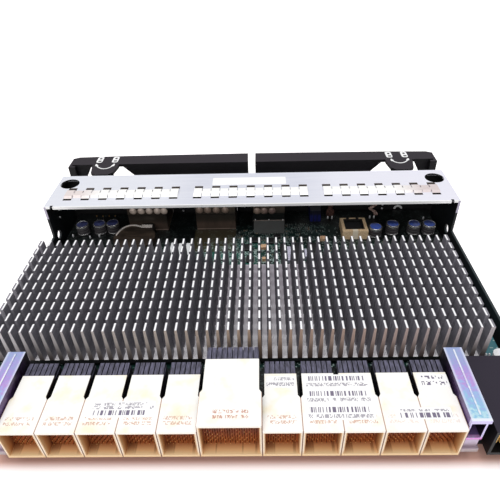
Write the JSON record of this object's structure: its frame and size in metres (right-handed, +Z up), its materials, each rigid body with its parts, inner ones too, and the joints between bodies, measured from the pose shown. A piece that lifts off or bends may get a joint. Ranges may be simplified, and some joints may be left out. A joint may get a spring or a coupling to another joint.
{
  "type": "drive backplane board",
  "caption": "Flat server module board with a pin-fin heat sink, a row of edge connectors, a sheet-metal port housing and hinged ejector levers.",
  "frame": {"origin": "centre of the module's width, on the tray's underside, at the open front edge of the bezel housing", "axes": "+X along the module's width, +Y from the edge connectors towards the ejector levers, +Z up from the tray"},
  "size_m": [0.195, 0.1629, 0.0289],
  "materials": {
    "tray": "black powder coat",
    "board": "dark green solder mask",
    "heatsink": "bare extruded and cross-cut aluminium",
    "chip": "black moulding compound",
    "housing": "ivory moulded plastic",
    "wafers": "dark blue-grey moulded plastic",
    "guide": "iridescent chromated zinc",
    "power": "black moulded plastic",
    "bezel": "satin zinc-plated sheet steel",
    "fingers": "tin-plated spring strip",
    "cage": "bright tinned sheet",
    "capacitor": "dark sleeve with a bright can end",
    "socket": "tan moulded plastic",
    "cell": "bright nickel-plated steel",
    "cellholder": "black moulded plastic",
    "blueport": "blue moulded plastic",
    "plug": "white moulded plastic",
    "lever": "black powder coat",
    "bracket": "black powder coat",
    "pin": "plated steel"
  },
  "bodies": {
    "module": {"base_tray": "tray", "circuit_board": "board", "heat_sink": "heatsink", "main_chip_1": "chip", "main_chip_2": "chip", "guide_block_left": "guide", "guide_block_right": "guide", "power_connector": "power", "bezel_housing": "bezel", "emi_strip_left": "fingers", "emi_strip_centre": "fingers", "emi_strip_right": "fingers", "chip_socket": "socket", "socket_chip": "chip", "coin_cell": "cell", "cell_holder": "cellholder", "blue_port": "blueport", "corner_plug": "plug", "connector_housing_01": "housing", "connector_wafers_01": "wafers", "connector_housing_02": "housing", "connector_wafers_02": "wafers", "connector_housing_03": "housing", "connector_wafers_03": "wafers", "connector_housing_04": "housing", "connector_wafers_04": "wafers", "connector_housing_05": "housing", "connector_wafers_05": "wafers", "connector_housing_06": "housing", "connector_wafers_06": "wafers", "connector_housing_07": "housing", "connector_wafers_07": "wafers", "connector_housing_08": "housing", "connector_wafers_08": "wafers", "connector_housing_09": "housing", "connector_wafers_09": "wafers", "connector_housing_10": "housing", "connector_wafers_10": "wafers", "connector_housing_11": "housing", "connector_wafers_11": "wafers", "port_cage_1": "cage", "port_cage_2": "cage", "port_cage_3": "cage", "capacitor_1": "capacitor", "capacitor_2": "capacitor", "capacitor_3": "capacitor", "capacitor_4": "capacitor", "capacitor_5": "capacitor", "capacitor_6": "capacitor", "capacitor_7": "capacitor", "pivot_bracket_left": "bracket", "pivot_pin_left": "pin", "pivot_bracket_right": "bracket", "pivot_pin_right": "pin"},
    "lever_left": {"lever_left": "lever"},
    "lever_right": {"lever_right": "lever"}
  },
  "joints": [
    {"name": "lever_right_hinge", "type": "hinge", "parent": "module", "child": "lever_right", "pos_m": [0.0773, 0.0364, 0.016], "axis": [0, 0, -1], "range_deg": [0, 25]},
    {"name": "lever_left_hinge", "type": "hinge", "parent": "module", "child": "lever_left", "pos_m": [-0.0773, 0.0364, 0.016], "axis": [0, 0, 1], "range_deg": [0, 25]}
  ]
}
